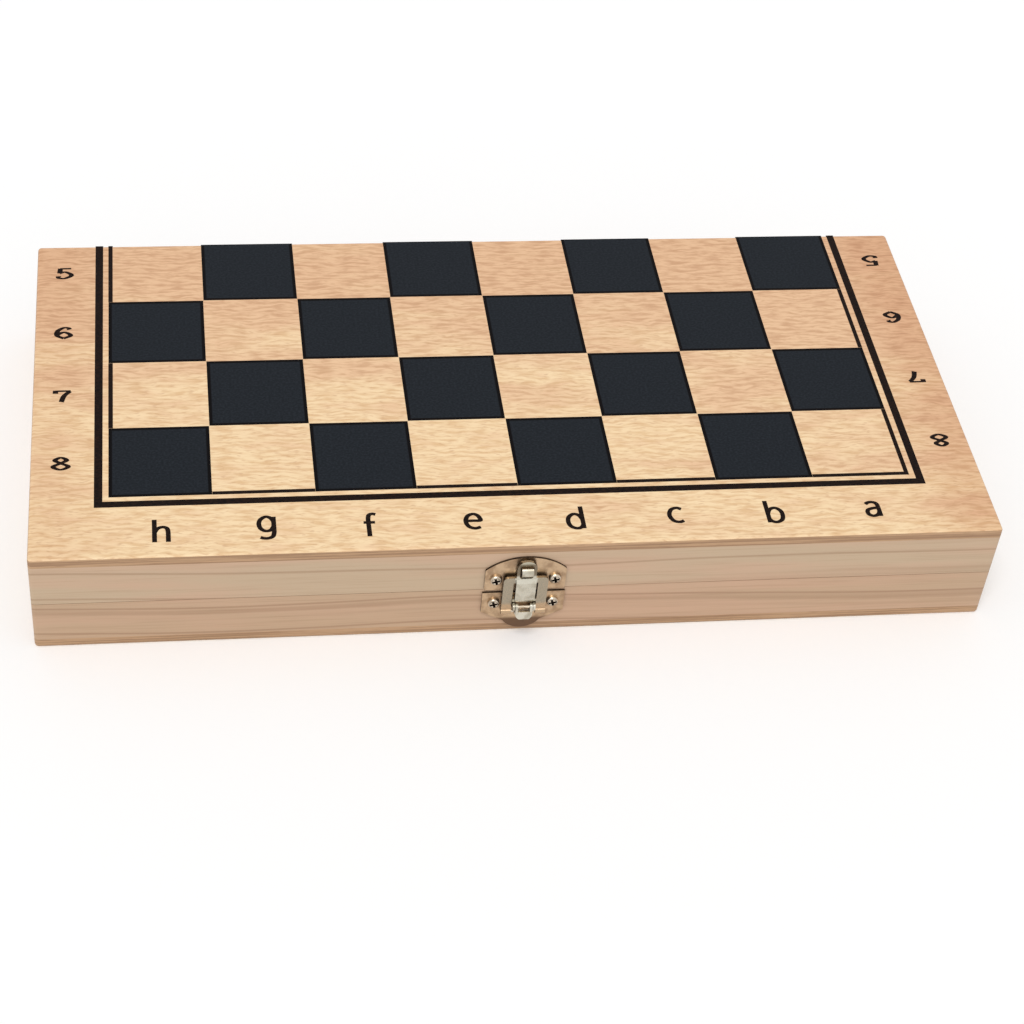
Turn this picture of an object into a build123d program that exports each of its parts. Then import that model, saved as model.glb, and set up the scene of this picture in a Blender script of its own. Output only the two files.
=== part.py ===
"""Folding chess set: a wooden case in two hinged halves whose outer faces are the board.

The case lies closed on its lower playing face. +X is to the right, -Y is the front with the latch, +Z is up.
The origin is the centre of the lower face. All sizes are in millimetres.
"""

import os
from math import atan2, cos, degrees, sin, sqrt

from build123d import *

os.makedirs("parts", exist_ok=True)

# Board
square = 30.5
files = 8
ranks_per_half = 4
side_margin = 23.0
front_margin = 25.3
fold_trim = 0.8

# Printed foils of the dark squares and border lines
foil_thickness = 0.15
foil_recess = 0.02
square_inset = 0.05
inner_line_width = 1.4
line_gap = 1.7
outer_line_width = 2.5

# Case
half_height = 18.0
seam_gap = 0.2
panel_thickness = 3.2
rail_thickness = 8.0
corner_radius = 1.2
panel_edge_radius = 0.9

# Hinges at the back
hinge_from_side = 50.0
hinge_width = 18.0
hinge_setback = 0.2
leaf_reach = 7.0
leaf_thickness = 0.8
knuckle_radius = 1.5
hinge_pin_radius = 0.7
knuckle_gap = 0.3
hinge_screw_spacing = 11.0
hinge_screw_from_axis = 4.6

# Latch: distances from the front face are stand-offs, heights are above or below the seam
plate_thickness = 0.7
plate_corner_radius = 0.9
catch_half_width = 12.2
catch_bottom = 0.3
catch_side_top = 8.5
catch_top = 13.5
base_half_width = 12.5
base_top = 0.9
base_side_bottom = 9.0
base_lobe_half_width = 5.6
base_lobe_top = 12.9
base_bottom = 16.1
nose_width = 3.5
nose_bottom = 6.9
nose_top = 11.0
nose_standoff = 4.0
lever_axis_height = -4.9
lever_axis_standoff = 3.0
bail_axis_height = -7.6
bail_axis_standoff = 1.9
ear_inner_half_width = 2.75
ear_thickness = 0.7
ear_radius = 1.15
lever_width = 5.2
lever_cheek = 0.8
lever_skin = 0.8
lever_tip_height = -8.7
lever_tip_radius = 2.0
latch_pin_radius = 0.5
bail_thickness = 0.8
bail_half_width = 6.7
bail_bar_width = 3.0
bail_shoulder_height = 6.6
bail_neck_width = 5.9
bail_top = 13.3
bail_hole_width = 4.1
bail_hole_top = 11.4
bail_eye_radius = 1.0
bail_web = 0.5
strap_width = 6.0
strap_top = 6.0
strap_bottom = -2.9
strap_rise = 0.9
strap_ramp = 1.0
latch_screw_spacing = 17.8
latch_screw_height = 4.9

# Screws
screw_shank_radius = 1.0
screw_length = 6.5
pan_head_radius = 1.85
pan_head_height = 1.2
flat_head_radius = 1.75
recess_width = 0.75
recess_depth = 0.6

# Chessmen: foot diameter and height of each kind.
# foot_edge is the height of the foot's rim per foot radius.
pawn_size = (16.8, 32.0)
rook_size = (18.8, 36.0)
knight_size = (19.2, 42.0)
bishop_size = (19.2, 45.0)
queen_size = (20.4, 52.0)
king_size = (21.0, 58.0)
foot_edge = 0.18
queen_points = 8
rook_notches = 3
men_spacing = 0.8
men_clearance = 0.2
men_from_rail = 1.2

# Fits
running_fit = 0.05
seat_fit = 0.1
swing_clearance = 0.15

# Derived sizes
board_width = files * square
case_width = board_width + 2 * side_margin
case_depth = front_margin + ranks_per_half * square - fold_trim
case_height = 2 * half_height + seam_gap
seam = half_height + seam_gap / 2
front_y = -case_depth / 2
back_y = case_depth / 2
rail_height = half_height - panel_thickness
hinge_y = back_y + hinge_setback
hinge_x = case_width / 2 - hinge_from_side
seam_plane = Plane.XY.offset(seam)
latch_plane = Plane(origin=(0, front_y, seam), x_dir=(1, 0, 0), z_dir=(0, -1, 0))


def save(piece, name):
    """Label a finished piece with its name and write it."""
    piece.part.label = name
    export_step(piece.part, f"parts/{name}.step")


def mirrored(piece):
    """The same piece in the upper half, seen in the seam as in a mirror."""
    with BuildPart() as other:
        mirror(piece.part, about=seam_plane)
    return other


# Playing faces
def dark_cells(first_is_dark):
    """Centre and size of each dark square of a half, the row at the fold cut short by the trim."""
    cells = []
    for column in range(files):
        for row in range(ranks_per_half):
            if ((column + row) % 2 == 0) == first_is_dark:
                left = -board_width / 2 + column * square
                bottom = front_y + front_margin + row * square
                top = min(bottom + square, back_y)
                cells.append(((left + square / 2, (bottom + top) / 2), (square, top - bottom)))
    return cells


def border_frame(outer_edge, width):
    """Frame that is open at the fold: its outer edge is outer_edge outside the board's squares."""
    frame_front = front_y + front_margin - outer_edge
    for front, reach, mode in (
        (frame_front, outer_edge, Mode.ADD),
        (frame_front + width, outer_edge - width, Mode.SUBTRACT),
    ):
        with Locations((0, (front + back_y) / 2)):
            Rectangle(board_width + 2 * reach, back_y - front, mode=mode)


def foil_shapes(first_is_dark):
    """Sketches of the dark squares and of the border lines, drawn on the XY plane."""
    cells = dark_cells(first_is_dark)
    with BuildSketch(Plane.XY) as squares:
        for centre, (width, depth) in cells:
            with Locations(centre):
                Rectangle(width - 2 * square_inset, depth - 2 * square_inset)
    with BuildSketch(Plane.XY) as inner_line:
        border_frame(0.0, inner_line_width)
        for centre, (width, depth) in cells:
            with Locations(centre):
                Rectangle(width, depth, mode=Mode.SUBTRACT)
    with BuildSketch(Plane.XY) as lines:
        border_frame(line_gap + outer_line_width, outer_line_width)
        add(inner_line.sketch)
    return squares.sketch, lines.sketch


def make_panel(squares, lines):
    """Panel of the lower half, its playing face down at z = 0, with pockets for the foils."""
    with BuildPart() as panel:
        with BuildSketch(Plane.XY) as outline:
            Rectangle(case_width, case_depth)
            fillet(outline.vertices(), radius=corner_radius)
        extrude(amount=panel_thickness)
        rounded = panel.faces().sort_by(Axis.Z)[0].edges()
        away_from_fold = [edge for edge in rounded if edge.center().Y < back_y - corner_radius]
        fillet(away_from_fold, panel_edge_radius)
        extrude(squares, amount=foil_thickness + foil_recess, mode=Mode.SUBTRACT)
        extrude(lines, amount=foil_thickness + foil_recess, mode=Mode.SUBTRACT)
    return panel


def make_foil(shapes):
    """Foil that fills its pockets in the lower face, a hair below the surface."""
    with BuildPart() as foil:
        extrude(shapes.moved(Location((0, 0, foil_recess))), amount=foil_thickness)
    return foil


upper_squares, upper_lines = foil_shapes(first_is_dark=True)
lower_squares, lower_lines = foil_shapes(first_is_dark=False)
save(make_panel(lower_squares, lower_lines), "lower_panel")
save(make_foil(lower_squares), "lower_dark_squares")
save(make_foil(lower_lines), "lower_border_lines")
save(mirrored(make_panel(upper_squares, upper_lines)), "upper_panel")
save(mirrored(make_foil(upper_squares)), "upper_dark_squares")
save(mirrored(make_foil(upper_lines)), "upper_border_lines")


# Rails
def make_long_rail(y_outer, y_inner):
    """Front or back rail over the full width, its outer corners eased like the panel's."""
    with BuildPart() as rail:
        with BuildSketch(Plane.XY.offset(panel_thickness)) as section:
            with Locations((0, (y_outer + y_inner) / 2)):
                Rectangle(case_width, rail_thickness)
            outer = [v for v in section.vertices() if abs(v.Y - y_outer) < rail_thickness / 2]
            fillet(outer, radius=corner_radius)
        extrude(amount=rail_height)
    return rail


def hinge_places():
    return [-hinge_x, hinge_x]


def latch_screw_places(side):
    """Screw centres in the latch plane: side is 1 for the catch plate, -1 for the base plate."""
    half = latch_screw_spacing / 2
    return [(-half, side * latch_screw_height), (half, side * latch_screw_height)]


with BuildPart() as front_rail:
    add(make_long_rail(front_y, front_y + rail_thickness).part)
    with BuildSketch(latch_plane) as latch_holes:
        with Locations(*latch_screw_places(-1)):
            Circle(screw_shank_radius + running_fit)
    extrude(amount=-(screw_length + seat_fit), mode=Mode.SUBTRACT)

with BuildPart() as back_rail:
    add(make_long_rail(back_y, back_y - rail_thickness).part)
    for x in hinge_places():
        leaf_seat = leaf_reach + seat_fit
        with Locations((x, hinge_y - leaf_seat / 2, half_height - leaf_thickness / 2 - seat_fit / 2)):
            Box(hinge_width + 2 * seat_fit, leaf_seat, leaf_thickness + seat_fit, mode=Mode.SUBTRACT)
        groove = knuckle_radius + swing_clearance
        with Locations((x, hinge_y - groove / 2, seam - groove / 2)):
            Box(hinge_width + 2 * swing_clearance, groove, groove, mode=Mode.SUBTRACT)
        with BuildSketch(Plane.XY.offset(half_height)):
            with Locations((x, hinge_y - hinge_screw_from_axis)):
                with GridLocations(hinge_screw_spacing, 0, 2, 1):
                    Circle(screw_shank_radius + running_fit)
        extrude(amount=-(screw_length + seat_fit), mode=Mode.SUBTRACT)

with BuildPart() as left_rail:
    with BuildSketch(Plane.XY.offset(panel_thickness)):
        with Locations((-(case_width - rail_thickness) / 2, 0)):
            Rectangle(rail_thickness, case_depth - 2 * rail_thickness)
    extrude(amount=rail_height)

with BuildPart() as right_rail:
    mirror(left_rail.part, about=Plane.YZ)

for rail, side in ((front_rail, "front"), (back_rail, "back"), (left_rail, "left"), (right_rail, "right")):
    save(rail, f"lower_{side}_rail")
    save(mirrored(rail), f"upper_{side}_rail")


# Hinges
knuckle_length = (hinge_width - 2 * knuckle_gap) / 3
knuckle_pitch = knuckle_length + knuckle_gap
up_to_top = (Align.CENTER, Align.CENTER, Align.MAX)


def knuckle_box(x, slot, play):
    """Room round one knuckle of the hinge at x: slot is -1, 0 or 1 along the pin."""
    size = 2 * (knuckle_radius + play)
    length = knuckle_length + 2 * play
    with Locations((x + slot * knuckle_pitch, hinge_y, seam)):
        Box(length, size, size, mode=Mode.SUBTRACT)


def make_leaf(x, own_slots, other_slots):
    """Leaf let into the lower rail's rim, with the knuckles of own_slots round the pin."""
    with BuildPart() as leaf:
        with Locations((x, hinge_y - leaf_reach / 2, half_height - leaf_thickness / 2)):
            Box(hinge_width, leaf_reach, leaf_thickness)
        for slot in other_slots:
            knuckle_box(x, slot, swing_clearance)
        for slot in own_slots:
            start = x + slot * knuckle_pitch - knuckle_length / 2
            with BuildSketch(Plane.YZ.offset(start)):
                with Locations((hinge_y, seam)):
                    Circle(knuckle_radius)
            extrude(amount=knuckle_length)
        with BuildSketch(Plane.YZ.offset(x - hinge_width / 2)):
            with Locations((hinge_y, seam)):
                Circle(hinge_pin_radius + running_fit)
        extrude(amount=hinge_width, mode=Mode.SUBTRACT)
        with Locations(Plane.XY.offset(half_height)):
            with Locations((x, hinge_y - hinge_screw_from_axis)):
                with GridLocations(hinge_screw_spacing, 0, 2, 1):
                    CounterSinkHole(screw_shank_radius + seat_fit, flat_head_radius + seat_fit)
    return leaf


def make_hinge_screws():
    """Countersunk screws of the two lower leaves, heads level with the leaf."""
    with BuildPart() as screws:
        for x in hinge_places():
            for shift in (-hinge_screw_spacing / 2, hinge_screw_spacing / 2):
                place = (x + shift, hinge_y - hinge_screw_from_axis, half_height - seat_fit / 2)
                head_height = flat_head_radius - screw_shank_radius
                with Locations(place):
                    Cone(screw_shank_radius, flat_head_radius, head_height, align=up_to_top)
                    Cylinder(screw_shank_radius, screw_length - seat_fit, align=up_to_top)
                with BuildSketch(Plane.XY.offset(place[2])):
                    with Locations(place[:2]):
                        Rectangle(2 * screw_shank_radius, recess_width)
                        Rectangle(recess_width, 2 * screw_shank_radius)
                extrude(amount=-recess_depth, mode=Mode.SUBTRACT)
    return screws


for x, side in zip(hinge_places(), ("left", "right")):
    save(make_leaf(x, (-1, 1), (0,)), f"lower_hinge_leaf_{side}")
    save(mirrored(make_leaf(x, (0,), (-1, 1))), f"upper_hinge_leaf_{side}")
    with BuildPart() as hinge_pin:
        with BuildSketch(Plane.YZ.offset(x - hinge_width / 2)):
            with Locations((hinge_y, seam)):
                Circle(hinge_pin_radius)
        extrude(amount=hinge_width)
    save(hinge_pin, f"hinge_pin_{side}")

hinge_screws = make_hinge_screws()
save(hinge_screws, "lower_hinge_screws")
save(mirrored(hinge_screws), "upper_hinge_screws")


# Latch plates
def side_plane(x):
    """Plane across the latch at x: its x runs out from the front face, its y up from the seam."""
    return Plane(origin=(x, front_y, seam), x_dir=(0, -1, 0), z_dir=(-1, 0, 0))


def slab_between(half_width):
    """Plane and length for a profile that is extruded over the middle of the latch."""
    return side_plane(half_width), 2 * half_width


with BuildPart() as catch_plate:
    with BuildSketch(latch_plane) as outline:
        with BuildLine():
            Line((catch_half_width, catch_side_top), (catch_half_width, catch_bottom))
            Line((catch_half_width, catch_bottom), (-catch_half_width, catch_bottom))
            Line((-catch_half_width, catch_bottom), (-catch_half_width, catch_side_top))
            ThreePointArc(
                (-catch_half_width, catch_side_top), (0, catch_top), (catch_half_width, catch_side_top)
            )
        make_face()
        fillet(outline.vertices(), radius=plate_corner_radius)
        with Locations(*latch_screw_places(1)):
            Circle(screw_shank_radius + seat_fit, mode=Mode.SUBTRACT)
    extrude(amount=plate_thickness)
    nose_plane, nose_length = slab_between(nose_width / 2)
    with BuildSketch(nose_plane) as nose:
        with BuildLine():
            Line((0.2, nose_bottom), (0.2, nose_top - 0.6))
            Line((0.2, nose_top - 0.6), (nose_standoff - 1.6, nose_top - 0.3))
            Line((nose_standoff - 1.6, nose_top - 0.3), (nose_standoff - 1.0, nose_top))
            ThreePointArc(
                (nose_standoff - 1.0, nose_top),
                (nose_standoff, nose_top - 1.4),
                (nose_standoff - 1.1, nose_top - 3.2),
            )
            Line((nose_standoff - 1.1, nose_top - 3.2), (0.2, nose_bottom))
        make_face()
    extrude(amount=nose_length)
save(catch_plate, "latch_catch_plate")

with BuildPart() as base_plate:
    with BuildSketch(latch_plane) as outline:
        with BuildLine():
            Polyline(
                (-base_lobe_half_width, -base_lobe_top),
                (-base_half_width, -base_side_bottom),
                (-base_half_width, -base_top),
                (base_half_width, -base_top),
                (base_half_width, -base_side_bottom),
                (base_lobe_half_width, -base_lobe_top),
            )
            ThreePointArc(
                (base_lobe_half_width, -base_lobe_top),
                (0, -base_bottom),
                (-base_lobe_half_width, -base_lobe_top),
            )
        make_face()
        above_lobe = outline.vertices().filter_by(lambda v: v.Z > seam - base_lobe_top + 1)
        fillet(above_lobe, radius=plate_corner_radius)
        with Locations(*latch_screw_places(-1)):
            Circle(screw_shank_radius + seat_fit, mode=Mode.SUBTRACT)
    extrude(amount=plate_thickness)
    for ear_x in (-ear_inner_half_width, ear_inner_half_width + ear_thickness):
        with BuildSketch(side_plane(ear_x)):
            with Locations((lever_axis_standoff, lever_axis_height)):
                Circle(ear_radius)
            with Locations((lever_axis_standoff / 2, lever_axis_height)):
                Rectangle(lever_axis_standoff, 2 * ear_radius)
        extrude(amount=ear_thickness)
    pin_plane, pin_length = slab_between(ear_inner_half_width + ear_thickness)
    with BuildSketch(pin_plane):
        with Locations((lever_axis_standoff, lever_axis_height)):
            Circle(latch_pin_radius + running_fit)
    extrude(amount=pin_length, mode=Mode.SUBTRACT)
save(base_plate, "latch_base_plate")

with BuildPart() as lever_pin:
    with BuildSketch(pin_plane):
        with Locations((lever_axis_standoff, lever_axis_height)):
            Circle(latch_pin_radius)
    extrude(amount=pin_length)
save(lever_pin, "latch_lever_pin")

# Lever: two cheeks round both pins, and the bill that a finger lifts
lever_outer = lever_axis_standoff + ear_radius
with BuildPart() as lever:
    for cheek_x in (-lever_width / 2 + lever_cheek, lever_width / 2):
        with BuildSketch(side_plane(cheek_x)):
            with Locations((lever_axis_standoff, lever_axis_height)):
                Circle(ear_radius)
            with Locations((bail_axis_standoff, bail_axis_height)):
                Circle(bail_eye_radius)
            with BuildLine():
                Polyline(
                    (lever_axis_standoff - ear_radius, lever_axis_height),
                    (bail_axis_standoff - bail_eye_radius, bail_axis_height),
                    (bail_axis_standoff + 0.4, bail_axis_height - bail_eye_radius),
                    (lever_outer, lever_tip_height + 1.2),
                    (lever_outer, lever_axis_height),
                    close=True,
                )
            make_face()
        extrude(amount=lever_cheek)
    bill_plane, bill_length = slab_between(lever_width / 2)
    with BuildSketch(bill_plane):
        with BuildLine():
            Line((lever_outer, lever_axis_height - 1.2), (lever_outer - lever_skin, lever_axis_height - 1.2))
            Bezier(
                (lever_outer - lever_skin, lever_axis_height - 1.2),
                (lever_outer - lever_skin, lever_tip_height + 2.0),
                (lever_outer - 0.1, lever_tip_height),
            )
            Line((lever_outer - 0.1, lever_tip_height), (lever_outer + 0.7, lever_tip_height + 0.2))
            Bezier(
                (lever_outer + 0.7, lever_tip_height + 0.2),
                (lever_outer, lever_tip_height + 2.2),
                (lever_outer, lever_axis_height - 1.2),
            )
        make_face()
    extrude(amount=bill_length)
    with BuildSketch(latch_plane.offset(bail_axis_standoff + bail_eye_radius)):
        with Locations((0, lever_tip_height)):
            Rectangle(2 * lever_width, 2 * lever_tip_radius)
        with Locations((0, lever_tip_height + 2 * lever_tip_radius)):
            RectangleRounded(lever_width, 4 * lever_tip_radius, lever_tip_radius, mode=Mode.SUBTRACT)
    extrude(amount=lever_outer, mode=Mode.SUBTRACT)
    with BuildSketch(pin_plane):
        with Locations((lever_axis_standoff, lever_axis_height), (bail_axis_standoff, bail_axis_height)):
            Circle(latch_pin_radius + running_fit)
    extrude(amount=pin_length, mode=Mode.SUBTRACT)
save(lever, "latch_lever")

# Bail: a stamped frame with a neck that goes round the nose and a raised strap in the middle
bail_back = bail_axis_standoff - bail_thickness / 2
bail_plane = latch_plane.offset(bail_back)
slot_width = bail_half_width - bail_bar_width - strap_width / 2
with BuildPart() as bail:
    with BuildSketch(bail_plane) as outline:
        with Locations((0, (bail_shoulder_height + bail_axis_height) / 2)):
            Rectangle(2 * bail_half_width, bail_shoulder_height - bail_axis_height)
        fillet(outline.vertices().group_by(Axis.Z)[-1], radius=1.4)
        neck_straight = bail_top - bail_neck_width / 2
        with Locations((0, (bail_shoulder_height + neck_straight) / 2 - 0.5)):
            Rectangle(bail_neck_width, neck_straight - bail_shoulder_height + 1.0)
        with Locations((0, neck_straight)):
            Circle(bail_neck_width / 2)
        hole_bottom = strap_top + 0.3
        with Locations((0, (bail_hole_top + hole_bottom) / 2)):
            RectangleRounded(bail_hole_width, bail_hole_top - hole_bottom, 0.8, mode=Mode.SUBTRACT)
        window_top = strap_bottom - bail_web
        window_bottom = bail_axis_height - bail_eye_radius
        with Locations((0, (window_top + window_bottom) / 2)):
            Rectangle(2 * (bail_half_width - bail_bar_width), window_top - window_bottom, mode=Mode.SUBTRACT)
        for slot_x in (-strap_width / 2 - slot_width / 2, strap_width / 2 + slot_width / 2):
            with Locations((slot_x, (strap_top + strap_bottom) / 2 - 0.5)):
                Rectangle(slot_width, strap_top - strap_bottom - 2.0, mode=Mode.SUBTRACT)
        with Locations((0, (strap_top + strap_bottom) / 2)):
            Rectangle(strap_width, strap_top - strap_bottom - 1.0, mode=Mode.SUBTRACT)
    extrude(amount=bail_thickness)
    strap_plane, strap_length = slab_between(strap_width / 2)
    with BuildSketch(strap_plane):
        with BuildLine():
            Polyline(
                (bail_back, strap_top),
                (bail_back + strap_rise, strap_top - strap_ramp),
                (bail_back + strap_rise, strap_bottom + strap_ramp),
                (bail_back, strap_bottom),
                (bail_back + bail_thickness, strap_bottom),
                (bail_back + bail_thickness + strap_rise, strap_bottom + strap_ramp),
                (bail_back + bail_thickness + strap_rise, strap_top - strap_ramp),
                (bail_back + bail_thickness, strap_top),
                close=True,
            )
        make_face()
    extrude(amount=strap_length)
    for bar_x in (-bail_half_width + bail_bar_width, bail_half_width):
        with BuildSketch(side_plane(bar_x)):
            with Locations((bail_axis_standoff, bail_axis_height)):
                Circle(bail_eye_radius)
        extrude(amount=bail_bar_width)
    bail_pin_plane, bail_pin_length = slab_between(bail_half_width)
    with BuildSketch(bail_pin_plane):
        with Locations((bail_axis_standoff, bail_axis_height)):
            Circle(latch_pin_radius + running_fit)
    extrude(amount=bail_pin_length, mode=Mode.SUBTRACT)
save(bail, "latch_bail")

with BuildPart() as bail_pin:
    with BuildSketch(bail_pin_plane):
        with Locations((bail_axis_standoff, bail_axis_height)):
            Circle(latch_pin_radius)
    extrude(amount=bail_pin_length)
save(bail_pin, "latch_bail_pin")


def make_latch_screws(side):
    """Two pan-head screws with a cross recess."""
    with BuildPart() as screws:
        for place in latch_screw_places(side):
            with BuildSketch(latch_plane.offset(plate_thickness)):
                with Locations(place):
                    Circle(pan_head_radius)
            extrude(amount=pan_head_height)
            with BuildSketch(latch_plane.offset(plate_thickness)):
                with Locations(place):
                    Circle(screw_shank_radius)
            extrude(amount=-(plate_thickness + screw_length - seat_fit))
        top = latch_plane.offset(plate_thickness + pan_head_height)
        rims = screws.edges().filter_by(GeomType.CIRCLE).filter_by_position(
            Axis.Y, top.origin.Y - seat_fit, top.origin.Y + seat_fit
        )
        fillet(rims, radius=0.7 * pan_head_height)
        with BuildSketch(top):
            with Locations(*latch_screw_places(side)):
                Rectangle(1.3 * pan_head_radius, recess_width, rotation=15)
                Rectangle(recess_width, 1.3 * pan_head_radius, rotation=15)
        extrude(amount=-recess_depth, mode=Mode.SUBTRACT)
    return screws


save(make_latch_screws(1), "latch_catch_screws")
save(make_latch_screws(-1), "latch_base_screws")


# Chessmen, each turned upright on the origin and then laid down in the lower half
def turned_base(radius):
    """Outline of the foot with its bead, from the axis at the bottom out and up. Gives its end."""
    unit = radius / 10
    Line((0, 0), (radius, 0))
    Line((radius, 0), (radius, foot_edge * radius))
    ThreePointArc((radius, foot_edge * radius), (9.6 * unit, 3.4 * unit), (8.2 * unit, 4.2 * unit))
    Line((8.2 * unit, 4.2 * unit), (7.4 * unit, 4.3 * unit))
    ThreePointArc((7.4 * unit, 4.3 * unit), (8.0 * unit, 5.4 * unit), (7.0 * unit, 6.3 * unit))
    return 7.0 * unit, 6.3 * unit


def turned_foot(radius, neck_radius, neck_height):
    """Outline of the foot and of the hollow stem above it, up to the neck."""
    start = turned_base(radius)
    Bezier(
        start,
        (0.63 * start[0], 1.27 * start[1]),
        (neck_radius, 0.55 * neck_height),
        (neck_radius, neck_height),
    )


def turned_collar(neck_radius, collar_radius, height, top_radius):
    """Outline of a collar: a thin disc with a rounded rim. Gives the height of its top."""
    rim = 0.16 * collar_radius
    Line((neck_radius, height), (collar_radius - rim, height + rim))
    ThreePointArc(
        (collar_radius - rim, height + rim),
        (collar_radius, height + 2 * rim),
        (collar_radius - rim, height + 3 * rim),
    )
    top = height + 4 * rim
    Line((collar_radius - rim, height + 3 * rim), (top_radius, top))
    return top


def ball_on(radius, start_radius, start_height):
    """Outline of a ball on a stem of start_radius, up to its top on the axis."""
    centre = start_height + sqrt(radius**2 - start_radius**2)
    ThreePointArc((start_radius, start_height), (radius, centre), (0, centre + radius))
    return centre + radius


def make_pawn():
    foot, height = pawn_size[0] / 2, pawn_size[1]
    neck, ball = 0.3 * foot, 0.62 * foot
    with BuildPart() as man:
        with BuildSketch(Plane.XZ):
            with BuildLine():
                neck_height = 0.5 * height
                turned_foot(foot, neck, neck_height)
                collar_top = turned_collar(neck, 0.66 * foot, neck_height, neck)
                ball_start = height - ball - sqrt(ball**2 - neck**2)
                Line((neck, collar_top), (neck, ball_start))
                top = ball_on(ball, neck, ball_start)
                Line((0, top), (0, 0))
            make_face()
        revolve(axis=Axis.Z)
    return man.part


def make_rook():
    foot, height = rook_size[0] / 2, rook_size[1]
    neck, tower = 0.5 * foot, 0.72 * foot
    notch_width, notch_depth, hollow_depth = 0.24 * foot, 2.6, 3.2
    with BuildPart() as man:
        with BuildSketch(Plane.XZ):
            with BuildLine():
                neck_height = 0.52 * height
                flare_top = 0.76 * height
                turned_foot(foot, neck, neck_height)
                collar_top = turned_collar(neck, 0.68 * foot, neck_height, 0.94 * neck)
                Bezier((0.94 * neck, collar_top), (neck, 0.7 * height), (tower, flare_top))
                Line((tower, flare_top), (tower, height))
                Line((tower, height), (0, height))
                Line((0, height), (0, 0))
            make_face()
        revolve(axis=Axis.Z)
        with BuildSketch(Plane.XY.offset(height)):
            Circle(0.66 * tower)
        extrude(amount=-hollow_depth, mode=Mode.SUBTRACT)
        with BuildSketch(Plane.XY.offset(height)):
            for notch in range(rook_notches):
                Rectangle(2 * foot, notch_width, rotation=180 * notch / rook_notches)
        extrude(amount=-notch_depth, mode=Mode.SUBTRACT)
    return man.part


def make_bishop():
    foot, height = bishop_size[0] / 2, bishop_size[1]
    neck, ball = 0.27 * foot, 0.19 * foot
    mitre = 0.52 * foot
    with BuildPart() as man:
        with BuildSketch(Plane.XZ):
            with BuildLine():
                neck_height = 0.52 * height
                turned_foot(foot, neck, neck_height)
                first_top = turned_collar(neck, 0.6 * foot, neck_height, 1.2 * neck)
                mitre_start = turned_collar(1.2 * neck, 0.46 * foot, first_top, neck)
                mitre_end = height - ball - sqrt(ball**2 - (0.6 * ball) ** 2)
                Bezier(
                    (neck, mitre_start),
                    (1.5 * mitre, mitre_start + 0.26 * (mitre_end - mitre_start)),
                    (1.05 * mitre, mitre_start + 0.75 * (mitre_end - mitre_start)),
                    (0.6 * ball, mitre_end),
                )
                top = ball_on(ball, 0.6 * ball, mitre_end)
                Line((0, top), (0, 0))
            make_face()
        revolve(axis=Axis.Z)
        slit_height = mitre_start + 0.62 * (mitre_end - mitre_start)
        slit = Plane(origin=(0.55 * mitre, 0, slit_height), z_dir=(-1, 0, 1))
        with BuildSketch(slit):
            Rectangle(1.5 * mitre, 3 * mitre)
        extrude(amount=0.09 * foot, mode=Mode.SUBTRACT)
    return man.part


def make_queen():
    foot, height = queen_size[0] / 2, queen_size[1]
    neck, ball, crown = 0.28 * foot, 0.22 * foot, 0.62 * foot
    cusp_radius = 0.17 * foot
    ball_stem, crown_dip = 1.2, 1.6
    with BuildPart() as man:
        with BuildSketch(Plane.XZ):
            with BuildLine():
                neck_height = 0.56 * height
                turned_foot(foot, neck, neck_height)
                first_top = turned_collar(neck, 0.62 * foot, neck_height, 1.25 * neck)
                crown_start = turned_collar(1.25 * neck, 0.5 * foot, first_top, 1.2 * neck)
                crown_top = height - 2.1 * ball - ball_stem
                ball_start = height - ball - sqrt(ball**2 - (0.5 * ball) ** 2)
                Bezier(
                    (1.2 * neck, crown_start),
                    (1.3 * neck, 0.5 * (crown_start + crown_top)),
                    (crown, crown_top),
                )
                Line((crown, crown_top), (0.8 * crown, crown_top))
                Bezier(
                    (0.8 * crown, crown_top),
                    (0.55 * crown, crown_top - crown_dip),
                    (0.5 * ball, ball_start),
                )
                top = ball_on(ball, 0.5 * ball, ball_start)
                Line((0, top), (0, 0))
            make_face()
        revolve(axis=Axis.Z)
        for point in range(queen_points):
            cusp = Plane.XY.rotated((0, 0, 360 * point / queen_points))
            start = cusp.x_dir * (0.72 * crown) + Vector(0, 0, crown_top)
            with BuildSketch(Plane(origin=start, x_dir=cusp.y_dir, z_dir=cusp.x_dir)):
                Circle(cusp_radius)
            extrude(amount=crown, mode=Mode.SUBTRACT)
    return man.part


def make_king():
    foot, height = king_size[0] / 2, king_size[1]
    neck, crown = 0.29 * foot, 0.58 * foot
    cross_height, cross_width = 7.0, 5.6
    bar, cross_thickness, cross_root = 2.0, 2.2, 1.0
    dome_height, dome_hollow = 2.8, 0.6
    with BuildPart() as man:
        with BuildSketch(Plane.XZ):
            with BuildLine():
                neck_height = 0.53 * height
                turned_foot(foot, neck, neck_height)
                first_top = turned_collar(neck, 0.64 * foot, neck_height, 1.25 * neck)
                crown_start = turned_collar(1.25 * neck, 0.52 * foot, first_top, 1.2 * neck)
                dome_top = height - cross_height
                crown_top = dome_top - dome_height
                Bezier(
                    (1.2 * neck, crown_start),
                    (1.5 * neck, 0.5 * (crown_start + crown_top)),
                    (crown, crown_top),
                )
                Bezier((crown, crown_top), (0.7 * crown, dome_top - dome_hollow), (0.75 * bar, dome_top))
                Line((0.75 * bar, dome_top), (0, dome_top))
                Line((0, dome_top), (0, 0))
            make_face()
        revolve(axis=Axis.Z)
        with BuildSketch(Plane.XZ.offset(-cross_thickness / 2)):
            with Locations((0, height - (cross_height + cross_root) / 2)):
                Rectangle(bar, cross_height + cross_root)
            with Locations((0, height - 0.42 * cross_height)):
                Rectangle(cross_width, bar)
        extrude(amount=cross_thickness)
    return man.part


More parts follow.
